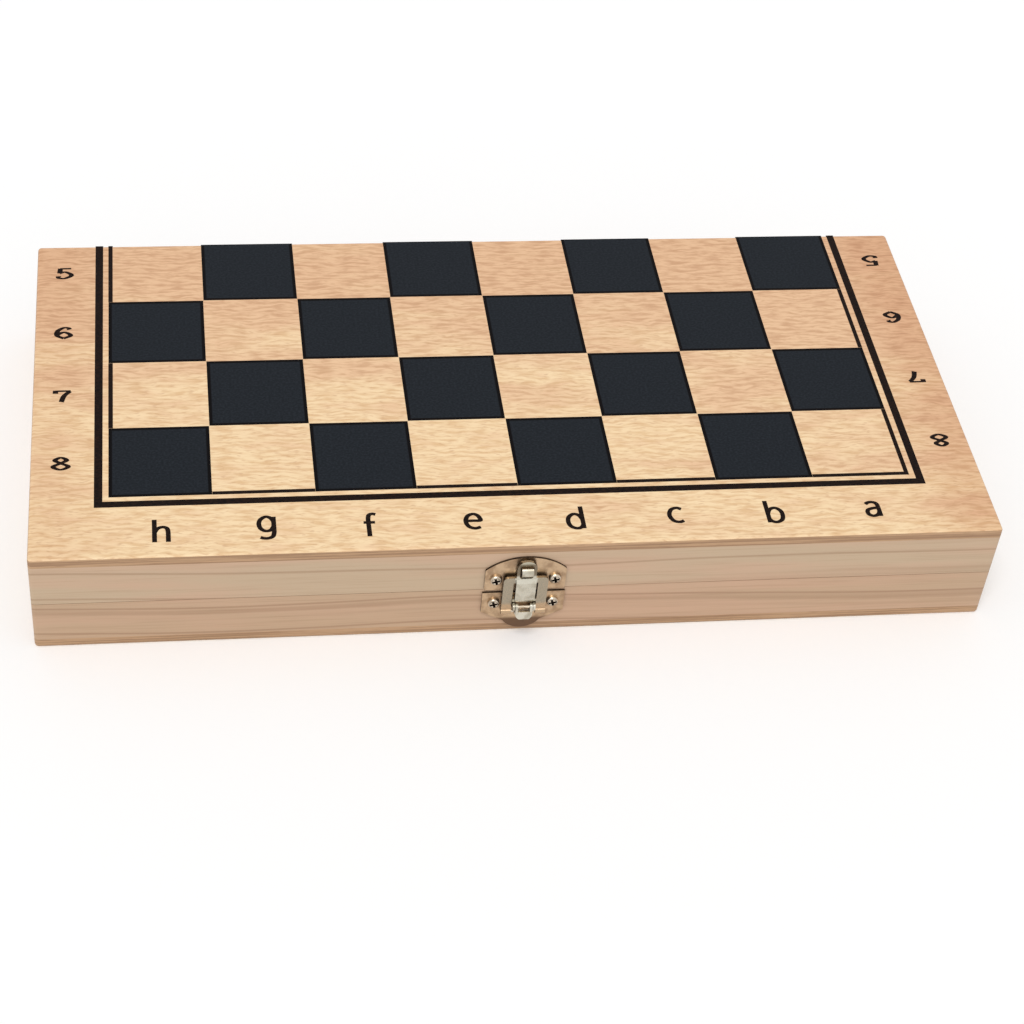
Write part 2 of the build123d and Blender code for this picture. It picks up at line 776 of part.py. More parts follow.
def make_knight():
    """A flat head on a turned foot. The outline is drawn for a man drawn_height tall, and scaled."""
    foot, height = knight_size[0] / 2, knight_size[1]
    drawn_height = 42
    unit = height / drawn_height
    half_thickness = 0.5 * foot
    head_bottom, neck_height = 5.0 * unit, 8.4 * unit
    nape = -5.6 * unit
    throat = 5.8 * unit

    def at(x, z):
        return x * unit, z * unit

    with BuildPart() as head:
        with BuildSketch(Plane.XZ.offset(-half_thickness)):
            with BuildLine():
                Line((nape, head_bottom), (nape, neck_height))
                Spline((nape, neck_height), at(-7.2, 17), at(-6.2, 27), at(-2.6, 36))
                Line(at(-2.6, 36), at(-1.2, drawn_height))
                Line(at(-1.2, drawn_height), at(1.2, 37.6))
                Spline(at(1.2, 37.6), at(4.2, 35), at(6.2, 31.4), at(9, 27))
                ThreePointArc(at(9, 27), at(9.3, 24.2), at(7.4, 22.8))
                Line(at(7.4, 22.8), at(5.4, 23.6))
                Spline(at(5.4, 23.6), at(3, 25.2), at(1.4, 23.6))
                Spline(at(1.4, 23.6), at(3.4, 18), at(5.8, 12.5), (throat, neck_height))
                Line((throat, neck_height), (throat, head_bottom))
                Line((throat, head_bottom), (nape, head_bottom))
            make_face()
        extrude(amount=2 * half_thickness)
        with BuildSketch(Plane.YZ) as front_view:
            with BuildLine():
                Polyline(
                    (-half_thickness, head_bottom),
                    (half_thickness, head_bottom),
                    (half_thickness, 16 * unit),
                    (0.62 * half_thickness, 30 * unit),
                    (0.34 * half_thickness, height),
                    (-0.34 * half_thickness, height),
                    (-0.62 * half_thickness, 30 * unit),
                    (-half_thickness, 16 * unit),
                    close=True,
                )
            make_face()
        extrude(amount=2 * foot, both=True, mode=Mode.INTERSECT)
    with BuildPart() as man:
        with BuildSketch(Plane.XZ):
            with BuildLine():
                base_end = turned_base(foot)
                Line(base_end, (0.64 * foot, neck_height))
                Line((0.64 * foot, neck_height), (0, neck_height))
                Line((0, neck_height), (0, 0))
            make_face()
        revolve(axis=Axis.Z)
        add(head.part)
        with Locations((3.2 * unit, 0, 31.6 * unit)):
            Cylinder(0.09 * foot, 1.5 * half_thickness, rotation=(90, 0, 0))
    return man.part


def lying_tilt(man, foot, lies_flat):
    """Tilt at which a man lies on the edge of its foot and the ring of its head that touches the floor.

    A flat man, the knight, lies on its cheek, and the others on any side.
    """
    steps_per_edge = 8
    above_rim = 1.0
    tilts = []
    for edge in man.edges():
        for step in range(steps_per_edge + 1):
            point = edge.position_at(step / steps_per_edge)
            if point.Z > foot_edge * foot + above_rim:
                radius = abs(point.Y) if lies_flat else sqrt(point.X**2 + point.Y**2)
                tilts.append(atan2(foot - radius, point.Z - foot_edge * foot))
    return min(tilts)


def lying_places(x, toward_back, men):
    """Places of a row of lying men, foot against head, along the tray at x.

    men holds (foot, height, tilt) of each man.
    """
    places = []
    run = 0.0
    for foot, height, tilt in men:
        edge = foot_edge * foot
        run += foot * sin(tilt)
        floor = panel_thickness + men_clearance
        lift = floor + foot * cos(tilt) + edge * sin(tilt)
        reach = run + men_from_rail
        wall = case_depth / 2 - rail_thickness
        if toward_back:
            places.append(Location((x, reach - wall, lift), (-90 - degrees(tilt), 0, 0)))
        else:
            places.append(Location((x, wall - reach, lift), (90 + degrees(tilt), 0, 0)))
        run += height * cos(tilt) + men_spacing
    return places


shapes = {
    "pawn": (make_pawn(), pawn_size),
    "rook": (make_rook(), rook_size),
    "knight": (make_knight(), knight_size),
    "bishop": (make_bishop(), bishop_size),
    "queen": (make_queen(), queen_size),
    "king": (make_king(), king_size),
}
kinds = {}
for kind, (man, (foot_diameter, height)) in shapes.items():
    foot = foot_diameter / 2
    kinds[kind] = (man, (foot, height, lying_tilt(man, foot, kind == "knight")))
men_of_a_colour = ["king", "queen"] + 2 * ["bishop"] + 2 * ["knight"] + 2 * ["rook"] + 8 * ["pawn"]


def lying_length(kind):
    """Length that a lying man takes up along its row, with the gap after it."""
    foot, height, tilt = kinds[kind][1]
    return foot * sin(tilt) + height * cos(tilt) + men_spacing


def fill_rows():
    """Rows of men across the tray: each man goes into the first row that has room for it."""
    room = case_depth - 2 * (rail_thickness + men_from_rail) + men_spacing
    rows = []
    for kind in men_of_a_colour:
        with_room = [row for row in rows if sum(map(lying_length, row)) + lying_length(kind) <= room]
        if with_room:
            with_room[0].append(kind)
        else:
            rows.append([kind])
    return rows


def lay_out(colour, start_x):
    """Write all men of one colour, in rows across the tray from start_x. Gives the x after the last row."""
    placed = {kind: [] for kind in kinds}
    x = start_x
    for number, row in enumerate(fill_rows()):
        width = max(2 * kinds[kind][1][0] for kind in row)
        x += width / 2
        places = lying_places(x, number % 2 == 0, [kinds[kind][1] for kind in row])
        for kind, place in zip(row, places):
            placed[kind].append(place)
        x += width / 2 + men_spacing
    for kind, places in placed.items():
        if kind == "pawn":
            groups = {f"{colour}_pawns": places}
        elif len(places) == 1:
            groups = {f"{colour}_{kind}": places}
        else:
            groups = {f"{colour}_{kind}_{number}": [place] for number, place in enumerate(places, 1)}
        for name, group in groups.items():
            with BuildPart() as men:
                with Locations(*group):
                    add(kinds[kind][0])
            save(men, name)
    return x


tray_left = -case_width / 2 + rail_thickness + men_from_rail
after_white = lay_out("white", tray_left)
after_black = lay_out("black", after_white)
print("room left beside the men:", round(case_width / 2 - rail_thickness - after_black, 1))
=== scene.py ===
"""Looks of the folding chess set: printed beech, pine rails, a nickel toggle latch and lacquered men.

Lengths are in metres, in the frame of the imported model: +X to the right, -Y the side with the latch,
+Z up, and the origin at the centre of the lower face. Names that end in _mm hold millimetres.
"""

from math import cos, hypot, radians, sin

import bpy
from mathutils import Matrix, Vector


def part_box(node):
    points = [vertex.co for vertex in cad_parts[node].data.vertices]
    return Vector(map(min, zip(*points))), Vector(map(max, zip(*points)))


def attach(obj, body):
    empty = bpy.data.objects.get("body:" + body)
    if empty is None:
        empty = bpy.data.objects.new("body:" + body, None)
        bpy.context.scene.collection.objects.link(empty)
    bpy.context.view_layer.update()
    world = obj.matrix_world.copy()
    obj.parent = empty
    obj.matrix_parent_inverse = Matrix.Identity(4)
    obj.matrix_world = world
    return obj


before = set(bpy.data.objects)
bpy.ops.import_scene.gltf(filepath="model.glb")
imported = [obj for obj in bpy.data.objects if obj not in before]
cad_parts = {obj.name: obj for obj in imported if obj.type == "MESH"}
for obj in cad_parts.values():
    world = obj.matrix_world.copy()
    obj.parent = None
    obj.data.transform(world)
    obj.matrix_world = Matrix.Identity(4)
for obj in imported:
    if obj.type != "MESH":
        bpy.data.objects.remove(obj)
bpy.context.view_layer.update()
mm = 0.001

# Sizes read from the frame
upper_low, upper_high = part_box("upper_panel")
lower_low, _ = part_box("lower_panel")
front_y = upper_low.y
back_y = upper_high.y
top_z = upper_high.z
bottom_z = lower_low.z
seam_z = (top_z + bottom_z) / 2

# Board
square = 30.5 * mm
files = 8
ranks_per_half = 4
front_margin = 25.3 * mm
board_left = -files / 2 * square
board_front = front_y + front_margin

# Finish of the woods and inks
line_spacing_mm = 10.5
wood_gloss = 0.35
ink_gloss = 0.05

# Latch
plate_thickness = 0.7 * mm
head_height = 1.2 * mm
screw_x = 8.9 * mm
screw_z = 4.9 * mm
recess_reach = 1.35 * mm

# Slack by which faces are told apart from a surface they lie near
slack = 0.05 * mm

# Edges: width of the rounding on each kind of piece, and the angles from which an edge is rounded or sharp
plate_ease = 0.12 * mm
lever_ease = 0.16 * mm
screw_ease = 0.06 * mm
rail_ease = 0.25 * mm
leaf_ease = 0.1 * mm
ease_from = radians(40)
sharp_from = radians(35)

# Camera, solved from the corners of the board's squares
camera_place = Vector((-0.10225, -0.53337, 0.49904))
camera_azimuth = radians(10.179)
camera_elevation = radians(43.814)
camera_roll = radians(5.353)
camera_lens_mm = 79.147
camera_shift_x = 0.045

# Light
world_strength = 0.60
key_strength = 1.45
key_turn = (radians(26), radians(-10), 0)
key_softness = radians(28)
floor_size = 8.0
floor_drop = 0.05 * mm
floor_bounce = (228, 226, 224)
white = (1.0, 1.0, 1.0, 1.0)


def colour(red, green, blue):
    """Linear colour with alpha from the usual 0 to 255 values."""
    linear = []
    for value in (red, green, blue):
        share = value / 255
        linear.append(share / 12.92 if share <= 0.04045 else ((share + 0.055) / 1.055) ** 2.4)
    return (*linear, 1.0)


# Node helpers
class Nodes:
    """Short calls for the nodes of one material."""

    def __init__(self, name):
        self.material = bpy.data.materials.new(name)
        self.material.use_nodes = True
        self.tree = self.material.node_tree
        self.shader = self.tree.nodes["Principled BSDF"]

    def node(self, kind, **settings):
        """A new node with these settings."""
        made = self.tree.nodes.new(kind)
        for key, value in settings.items():
            setattr(made, key, value)
        return made

    def feed(self, socket, value):
        """Link value to the socket when it is an output, else set it there."""
        if isinstance(value, bpy.types.NodeSocket):
            self.tree.links.new(value, socket)
        else:
            socket.default_value = value

    def math(self, operation, first, second=0.0, clamp=False):
        """Result of the operation, held between 0 and 1 when clamp is set."""
        made = self.node("ShaderNodeMath", operation=operation, use_clamp=clamp)
        self.feed(made.inputs[0], first)
        self.feed(made.inputs[1], second)
        return made.outputs[0]

    def add(self, first, *others, clamp=False):
        """Sum of the values, held between 0 and 1 when clamp is set."""
        total = first
        for number, value in enumerate(others, 1):
            total = self.math("ADD", total, value, clamp=clamp and number == len(others))
        return total

    def times(self, value, factor):
        return self.math("MULTIPLY", value, factor)

    def place(self):
        """X, Y and Z of a point on the piece, in millimetres."""
        coordinates = self.node("ShaderNodeTexCoord")
        scaled = self.node("ShaderNodeVectorMath", operation="SCALE")
        self.feed(scaled.inputs[0], coordinates.outputs["Object"])
        scaled.inputs["Scale"].default_value = 1 / mm
        split = self.node("ShaderNodeSeparateXYZ")
        self.feed(split.inputs[0], scaled.outputs[0])
        return split.outputs[0], split.outputs[1], split.outputs[2]

    def noise(self, *spans, detail=2.0):
        """Noise from 0 to 1. A span is a coordinate and the grain size along it, or a plain number."""
        joined = self.node("ShaderNodeCombineXYZ")
        for socket, span in zip(joined.inputs, spans):
            self.feed(socket, self.math("DIVIDE", *span) if isinstance(span, tuple) else span)
        made = self.node("ShaderNodeTexNoise")
        self.feed(made.inputs["Vector"], joined.outputs[0])
        made.inputs["Scale"].default_value = 1.0
        made.inputs["Detail"].default_value = detail
        return made.outputs["Fac"]

    def sway(self, value, noise, reach):
        """The value moved to and fro by the noise, over reach in all."""
        return self.add(value, self.times(self.math("SUBTRACT", noise, 0.5), reach))

    def window(self, value, low, high, start=0.0, end=1.0):
        """Smooth step from start to end while value goes from low to high."""
        made = self.node("ShaderNodeMapRange", interpolation_type="SMOOTHSTEP")
        settings = {"Value": value, "From Min": low, "From Max": high, "To Min": start, "To Max": end}
        for name, setting in settings.items():
            self.feed(made.inputs[name], setting)
        return made.outputs["Result"]

    def mix(self, share, first, second, blend="MIX"):
        """The first colour where share is 0 and the second where it is 1."""
        made = self.node("ShaderNodeMix", data_type="RGBA", blend_type=blend)
        self.feed(made.inputs["Factor"], share)
        self.feed(made.inputs["A"], first)
        self.feed(made.inputs["B"], second)
        return made.outputs["Result"]

    def bump(self, height, depth_mm, strength):
        """Let the surface rise and fall with height, over that depth."""
        made = self.node("ShaderNodeBump")
        made.inputs["Strength"].default_value = strength
        made.inputs["Distance"].default_value = depth_mm * mm
        self.feed(made.inputs["Height"], height)
        self.feed(self.shader.inputs["Normal"], made.outputs[0])

    def finish(self, base, roughness, metallic=0.0, coat=0.0, coat_roughness=0.1, gloss=0.5):
        """Give the shader its colour and finish, and return the material."""
        self.feed(self.shader.inputs["Base Color"], base)
        self.feed(self.shader.inputs["Roughness"], roughness)
        self.shader.inputs["Metallic"].default_value = metallic
        self.shader.inputs["Specular IOR Level"].default_value = gloss
        self.shader.inputs["Coat Weight"].default_value = coat
        self.shader.inputs["Coat Roughness"].default_value = coat_roughness
        return self.material


# Materials
def beech_print():
    """Printed beech: short wavy fibres along X in yellow and pinkish bands, with fine dark flecks.

    It grows rosier to the back and to the right, and painted shade makes it a little darker at the back and
    in the side margins.
    """
    pale, pale_rosy = colour(248, 219, 176), colour(236, 196, 156)
    deep, deep_rosy = colour(228, 190, 144), colour(210, 166, 128)
    # fleck marks the grain; the second colour is a painted shade, multiplied in at the back and the side
    # margins
    fleck, painted_shade_tone = colour(202, 156, 116), colour(238, 224, 218)
    half_board = files / 2 * square / mm
    n = Nodes("beech_print")
    x, y, _ = n.place()
    wavy = n.sway(y, n.noise((x, 9), (y, 6), detail=1.0), 2.6)
    tilted = n.add(wavy, n.times(x, 0.03))
    fibre = n.noise((x, 6.5), (tilted, 1.15))
    ripple = n.noise((x, 2.8), (tilted, 0.5), detail=1.0)
    patch = n.noise((x, 13), (tilted, 4.5), detail=1.0)
    band = n.noise((x, 55), (tilted, 15))
    backward = n.window(y, board_front / mm, back_y / mm, start=-0.16, end=0.24)
    rightward = n.window(x, 0.0, half_board, end=0.12)
    rosy = n.window(n.add(band, backward, rightward), 0.34, 0.72)
    blushed = n.add(rosy, n.window(patch, 0.48, 0.72, end=0.5), clamp=True)
    fibres = n.mix(
        n.window(fibre, 0.38, 0.70),
        n.mix(blushed, pale, pale_rosy),
        n.mix(rosy, deep, deep_rosy),
    )
    flecked = n.mix(n.window(ripple, 0.55, 0.70, end=0.46), fibres, fleck)
    # Painted shade: darker in the side margins and toward the back
    right_margin = n.window(x, half_board - 6, half_board + 18, end=0.85)
    left_margin = n.window(x, -half_board + 2, -half_board - 16, end=0.40)
    back = n.window(y, 0.0, back_y / mm, end=0.35)
    painted_shade_share = n.add(right_margin, left_margin, back, clamp=True)
    toned = n.mix(painted_shade_share, flecked, painted_shade_tone, blend="MULTIPLY")
    n.bump(fibre, 0.02, 0.2)
    return n.finish(toned, n.window(fibre, 0.3, 0.7, start=0.44, end=0.52), gloss=wood_gloss)


def pine(name, base, line, seed, along="x"):
    """Pine: a few long growth lines along the board, over soft broad bands and fine straight fibres.

    The seed moves the lines from one board to the next, and says how fine its blush is.
    """
    blush = colour(216, 176, 149)
    n = Nodes(name)
    x, y, z = n.place()
    run, side = (x, y) if along == "x" else (y, x)
    height = n.sway(z, n.noise((run, 130), (side, 60), seed, detail=1.0), 12.0)
    flat = n.add(height, n.times(run, 0.011), n.times(side, 0.7))
    ring = n.noise((run, 600), seed, (flat, 4.5))
    fibre = n.noise((run, 26), (side, 0.5), (z, 0.5))
    cloud = n.noise((run, 80), (side, 30), (z, 9), detail=seed)
    growth = n.math("PINGPONG", n.math("DIVIDE", n.add(flat, seed), line_spacing_mm), 0.5)
    clouded = n.mix(n.window(cloud, 0.40, 0.68, end=0.55), base, blush)
    ringed = n.mix(n.window(ring, 0.50, 0.68, end=0.36), clouded, line)
    marked = n.mix(n.window(growth, 0.01, 0.06, start=0.52, end=0.0), ringed, line)
    lined = n.mix(n.window(fibre, 0.48, 0.78, end=0.22), marked, line)
    n.bump(fibre, 0.03, 0.3)
    return n.finish(lined, n.window(fibre, 0.3, 0.7, start=0.50, end=0.60), gloss=wood_gloss)


def panel_edge():
    """Cut edge of a panel: darker, with the thin layers of plywood."""
    n = Nodes("panel_edge")
    x, y, z = n.place()
    layer = n.noise((x, 60), (y, 60), (z, 0.7))
    fibre = n.noise((x, 5), (y, 5), (z, 0.3))
    layers = n.mix(n.window(layer, 0.4, 0.6), colour(198, 160, 124), colour(168, 132, 100))
    lined = n.mix(n.window(fibre, 0.5, 0.75, end=0.4), layers, colour(140, 104, 76))
    n.bump(fibre, 0.04, 0.4)
    return n.finish(lined, 0.62)


def bare_ply():
    """Inner face of a panel: pale rotary-cut veneer with broad soft figure."""
    n = Nodes("bare_ply")
    x, y, _ = n.place()
    wavy = n.add(y, n.times(n.noise((x, 60), (y, 30), detail=1.5), 22.0))
    figure = n.noise((x, 180), (wavy, 3.2), detail=2.5)
    fine = n.noise((x, 12), (y, 0.4), detail=1.0)
    figured = n.mix(n.window(figure, 0.32, 0.72), colour(234, 207, 169), colour(220, 188, 147))
    lined = n.mix(n.window(fine, 0.55, 0.8, end=0.3), figured, colour(190, 150, 108))
    n.bump(fine, 0.03, 0.3)
    return n.finish(lined, 0.58)


def square_ink():
    """Blue-black ink of the dark squares, with a blacker line round each square."""
    n = Nodes("square_ink")
    x, y, _ = n.place()
    column = n.math("DIVIDE", n.math("SUBTRACT", x, board_left / mm), square / mm)
    row = n.math("DIVIDE", n.math("SUBTRACT", y, board_front / mm), square / mm)
    to_edge = n.math("MINIMUM", n.math("PINGPONG", column, 0.5), n.math("PINGPONG", row, 0.5))
    to_edge_mm = n.times(to_edge, square / mm)
    weave = n.noise((x, 0.8), (y, 0.6), detail=3.0)
    woven = n.mix(n.window(weave, 0.35, 0.7), colour(27, 31, 36), colour(38, 42, 48))
    outlined = n.mix(n.window(to_edge_mm, 0.9, 1.35), colour(6, 4, 5), woven)
    n.bump(weave, 0.01, 0.3)
    return n.finish(outlined, n.window(weave, 0.3, 0.7, start=0.50, end=0.60), gloss=ink_gloss)


def line_ink():
    """Brown-black ink of the border lines, letters and numbers."""
    n = Nodes("line_ink")
    x, y, _ = n.place()
    grain = n.noise((x, 1.2), (y, 0.5))
    base = n.mix(n.window(grain, 0.35, 0.7), colour(14, 8, 7), colour(38, 24, 18))
    return n.finish(base, n.window(grain, 0.3, 0.7, start=0.48, end=0.58), gloss=ink_gloss)


def metal(name, base, worn, roughness, painted_light=()):
    """Plated sheet: soft brushing with a little wear and fine scratches.

    Each tint is painted light or shade, given as (way, low, high, colour). It grows from low to high, in
    millimetres above the seam for the way "up", below the seam for "down" and from the middle for "aside".
    """
    n = Nodes(name)
    x, y, z = n.place()
    cloud = n.noise((x, 2.6), (y, 2.6), (z, 2.6), detail=3.0)
    brush = n.noise((x, 0.12), (y, 0.5), (z, 3.0))
    shade = n.mix(n.window(cloud, 0.4, 0.7), base, worn)
    ways = {
        "up": n.math("SUBTRACT", z, seam_z / mm),
        "down": n.math("SUBTRACT", seam_z / mm, z),
        "aside": n.math("ABSOLUTE", x),
    }
    # Painted light and shade, each mixed in over its band
    for way, low, high, tint in painted_light:
        shade = n.mix(n.window(ways[way], low, high), shade, tint)
    n.bump(brush, 0.004, 0.4)
    cloudy = n.window(cloud, 0.3, 0.7, start=roughness, end=roughness + 0.12)
    return n.finish(shade, cloudy, metallic=1.0)


def lacquered(name, base, deep):
    """Turned wood under lacquer, its fibres along Y as the men lie and its rings slanting across them."""
    n = Nodes(name)
    x, y, z = n.place()
    across = n.add(n.times(x, 0.8), n.times(z, 0.6))
    beside = n.math("SUBTRACT", n.times(z, 0.8), n.times(x, 0.6))
    ring = n.noise((across, 1.5), (y, 45), (beside, 16), detail=1.5)
    fibre = n.noise((x, 0.35), (y, 6), (z, 0.35))
    ringed = n.mix(n.window(ring, 0.36, 0.70, end=0.8), base, deep)
    lined = n.mix(n.window(fibre, 0.55, 0.80, end=0.22), ringed, deep)
    n.bump(fibre, 0.01, 0.2)
    return n.finish(lined, 0.34, coat=0.5, coat_roughness=0.08)


beech = beech_print()
edge = panel_edge()
ply = bare_ply()
dark_ink = square_ink()
black_ink = line_ink()
upper_pine = pine("upper_pine", colour(206, 181, 152), colour(166, 132, 104), 1.7)
lower_pine = pine("lower_pine", colour(203, 172, 142), colour(160, 122, 95), 5.3)
side_pine = pine("side_pine", colour(212, 186, 156), colour(172, 138, 108), 3.1, along="y")
# Painted shadow and dark reflection on the base plate's lower lobe, below the lever's tip
plate_painted_shadow = [("down", 11.0, 12.6, colour(116, 91, 72))]
# The plates' warm tan colour is a painted reflection of the wood round the latch
plate_nickel = metal("plate_nickel", colour(200, 172, 140), colour(168, 140, 112), 0.30, plate_painted_shadow)
# Lighter nickel: the lever's own colour, and a painted highlight where the plates stand out as nose and ears
nickel_and_highlight = metal("nickel_and_highlight", colour(212, 206, 190), colour(176, 168, 150), 0.18)
# Painted light and shade on the bail
bail_painted_light = [
    # Painted shade on the side bars beside the strap
    ("aside", 3.2, 3.6, colour(166, 155, 136)),
    # Painted shade on the neck above the shoulder
    ("up", 6.8, 8.0, colour(128, 116, 98)),
    # Painted highlight on the top of the arch
    ("up", 11.8, 12.8, colour(190, 184, 164)),
    # Painted reflection of the wood on the lower ends of the bars
    ("down", 3.4, 5.2, colour(190, 162, 130)),
]
bail_nickel = metal("bail_nickel", colour(204, 199, 184), colour(180, 173, 156), 0.22, bail_painted_light)
# Dark nickel as painted shade on plate rims and side walls
painted_shade_nickel = metal("painted_shade_nickel", colour(92, 80, 68), colour(66, 56, 48), 0.34)
# Near-black nickel as painted shade inside the screws' cross recesses
recess_shade_nickel = metal("recess_shade_nickel", colour(40, 32, 28), colour(24, 19, 17), 0.45)
screw_nickel = metal("screw_nickel", colour(214, 200, 180), colour(176, 160, 140), 0.22)
hinge_metal = metal("hinge_metal", colour(214, 206, 192), colour(186, 176, 160), 0.26)
light_wood = lacquered("light_lacquer", colour(232, 196, 136), colour(206, 160, 98))
dark_wood = lacquered("dark_lacquer", colour(58, 38, 30), colour(34, 22, 18))


def dress(name, *materials):
    """Give a node these materials, with smooth faces that stay sharp at its edges."""
    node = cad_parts[name]
    mesh = node.data
    mesh.materials.clear()
    for material in materials:
        mesh.materials.append(material)
    mesh.shade_smooth()
    mesh.set_sharp_from_angle(angle=sharp_from)
    return node


def ease(node, width):
    """Round the node's sharp edges a little, so that they catch the light."""
    bevel = node.modifiers.new("eased edges", "BEVEL")
    bevel.width = width
    bevel.segments = 2
    bevel.limit_method = "ANGLE"
    bevel.angle_limit = ease_from


def paint(node, index, test):
    """Give the material of that index to the faces whose centre and normal pass the test."""
    for polygon in node.data.polygons:
        if test(polygon.center, polygon.normal):
            polygon.material_index = index


def dress_plate(name):
    """Latch plate with painted shade on its rim and side walls, and a painted highlight of lighter nickel
    where it stands out from the case as nose or ears.
    """
    node = dress(name, plate_nickel, painted_shade_nickel, nickel_and_highlight)
    surface = front_y - plate_thickness
    # Painted shade on the plate's rim
    paint(node, 1, lambda centre, normal: centre.y > surface and abs(normal.y) < 0.5)
    # Painted highlight: lighter nickel on the faces that stand out from the case
    paint(node, 2, lambda centre, normal: centre.y < surface - slack)
    # Painted shade on the side walls of the nose and ears
    paint(node, 1, lambda centre, normal: centre.y < surface - slack and abs(normal.x) > 0.7)
    ease(node, plate_ease)


def dress_moving_metal(name, face):
    """Bail or lever, with painted shade on its side walls."""
    node = dress(name, face, painted_shade_nickel)
    # Painted shade on faces that look sideways
    paint(node, 1, lambda centre, normal: abs(normal.x) > 0.6)
    ease(node, lever_ease)


def dress_latch_screws(name):
    """Pan-head screws, with painted shade inside the cross recess."""
    node = dress(name, screw_nickel, recess_shade_nickel)
    head_top = front_y - plate_thickness - head_height
    places = [(side * screw_x, seam_z + height * screw_z) for side in (-1, 1) for height in (-1, 1)]

    def in_recess(centre, normal):
        near = min(hypot(centre.x - x, centre.z - z) for x, z in places) < recess_reach
        deep = centre.y > head_top + slack
        wall_or_floor = abs(normal.y) < 0.3 or normal.y < -0.9
        return deep and near and wall_or_floor

    # Painted shade on the walls and floor of the cross recess
    paint(node, 1, in_recess)
    ease(node, screw_ease)


def dress_panel(half, outward):
    """Printed outer face, plain inner face and darker cut edge. outward is 1 for a face that looks up."""
    node = dress(f"{half}_panel", beech, edge, ply)
    for polygon in node.data.polygons:
        facing = polygon.normal.z * outward
        if facing > 0.5:
            polygon.material_index = 0
        elif facing < -0.5:
            polygon.material_index = 2
        else:
            polygon.material_index = 1


def dress_half(half, rail_wood, outward):
    """Panel, foils, rails and hinge leaves of a half.

    The foils show the panel's edge where they reach the back.
    """
    dress_panel(half, outward)
    for foil, ink in (("dark_squares", dark_ink), ("border_lines", black_ink)):
        paint(dress(f"{half}_{foil}", ink, edge), 1, lambda centre, normal: centre.y > back_y - 2 * slack)
    for side in ("front", "back"):
        ease(dress(f"{half}_{side}_rail", rail_wood), rail_ease)
    for side in ("left", "right"):
        ease(dress(f"{half}_{side}_rail", side_pine), rail_ease)
        ease(dress(f"{half}_hinge_leaf_{side}", hinge_metal), leaf_ease)
    dress(f"{half}_hinge_screws", screw_nickel)


dress_half("upper", upper_pine, 1)
dress_half("lower", lower_pine, -1)
for side in ("left", "right"):
    dress(f"hinge_pin_{side}", screw_nickel)
for name in ("latch_catch_plate", "latch_base_plate"):
    dress_plate(name)
dress_moving_metal("latch_lever", nickel_and_highlight)
dress_moving_metal("latch_bail", bail_nickel)
for name in ("latch_lever_pin", "latch_bail_pin"):
    dress(name, screw_nickel)
for name in ("latch_catch_screws", "latch_base_screws"):
    dress_latch_screws(name)
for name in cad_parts:
    if name.startswith("white_"):
        dress(name, light_wood)
    elif name.startswith("black_"):
        dress(name, dark_wood)


# Letters and numbers
ink_thickness = 0.02 * mm
pen_lift = 0.0003 * mm
x_height = 6.3 * mm
letter_middle = 10.7 * mm
letter_pen = (0.225, 0.175)
numeral_width = 5.8 * mm
numeral_height = 5.6 * mm
numeral_from_board = 0.46 * square
numeral_pen = (0.30, 0.13)
curve_steps = 10

# Pen strokes of each letter, in units of its x-height from its left foot: (points, smooth)
letter_strokes = {
    "a": [
        ([(0.08, 0.84), (0.22, 0.95), (0.44, 0.97), (0.62, 0.86), (0.66, 0.62)], True),
        ([(0.66, 0.62), (0.66, 0.0)], False),
        (
            [(0.66, 0.58), (0.36, 0.55), (0.10, 0.42), (0.09, 0.16), (0.30, 0.03), (0.54, 0.12),
             (0.66, 0.32)],
            True,
        ),
    ],
    "b": [
        ([(0.08, 1.48), (0.08, 0.0)], False),
        (
            [(0.08, 0.60), (0.22, 0.88), (0.48, 0.98), (0.72, 0.80), (0.78, 0.50), (0.70, 0.18), (0.44, 0.02),
             (0.20, 0.08), (0.08, 0.26)],
            True,
        ),
    ],
    "c": [
        (
            [(0.70, 0.88), (0.48, 0.98), (0.20, 0.86), (0.07, 0.50), (0.20, 0.14), (0.48, 0.02),
             (0.71, 0.10)],
            True,
        ),
    ],
    "d": [
        ([(0.76, 1.48), (0.76, 0.0)], False),
        (
            [(0.76, 0.60), (0.62, 0.88), (0.38, 0.98), (0.14, 0.80), (0.06, 0.50), (0.14, 0.18), (0.40, 0.02),
             (0.64, 0.08), (0.76, 0.26)],
            True,
        ),
    ],
    "e": [
        (
            [(0.09, 0.53), (0.44, 0.535), (0.76, 0.54), (0.74, 0.74), (0.62, 0.92), (0.42, 0.98),
             (0.18, 0.84), (0.07, 0.50), (0.18, 0.16), (0.46, 0.02), (0.74, 0.10)],
            True,
        ),
    ],
    "f": [
        ([(0.62, 1.44), (0.46, 1.49), (0.30, 1.40), (0.25, 1.16)], True),
        ([(0.25, 1.18), (0.25, 0.0)], False),
        ([(0.02, 0.92), (0.56, 0.92)], False),
    ],
    "g": [
        (
            [(0.74, 0.34), (0.60, 0.10), (0.36, 0.04), (0.14, 0.20), (0.06, 0.50), (0.14, 0.80), (0.38, 0.98),
             (0.60, 0.90), (0.74, 0.68)],
            True,
        ),
        ([(0.75, 0.97), (0.75, -0.06)], False),
        ([(0.75, -0.04), (0.68, -0.32), (0.46, -0.44), (0.24, -0.43), (0.10, -0.37)], True),
    ],
    "h": [
        ([(0.08, 1.48), (0.08, 0.0)], False),
        ([(0.08, 0.62), (0.22, 0.88), (0.46, 0.98), (0.66, 0.88), (0.71, 0.60)], True),
        ([(0.71, 0.64), (0.71, 0.0)], False),
    ],
}

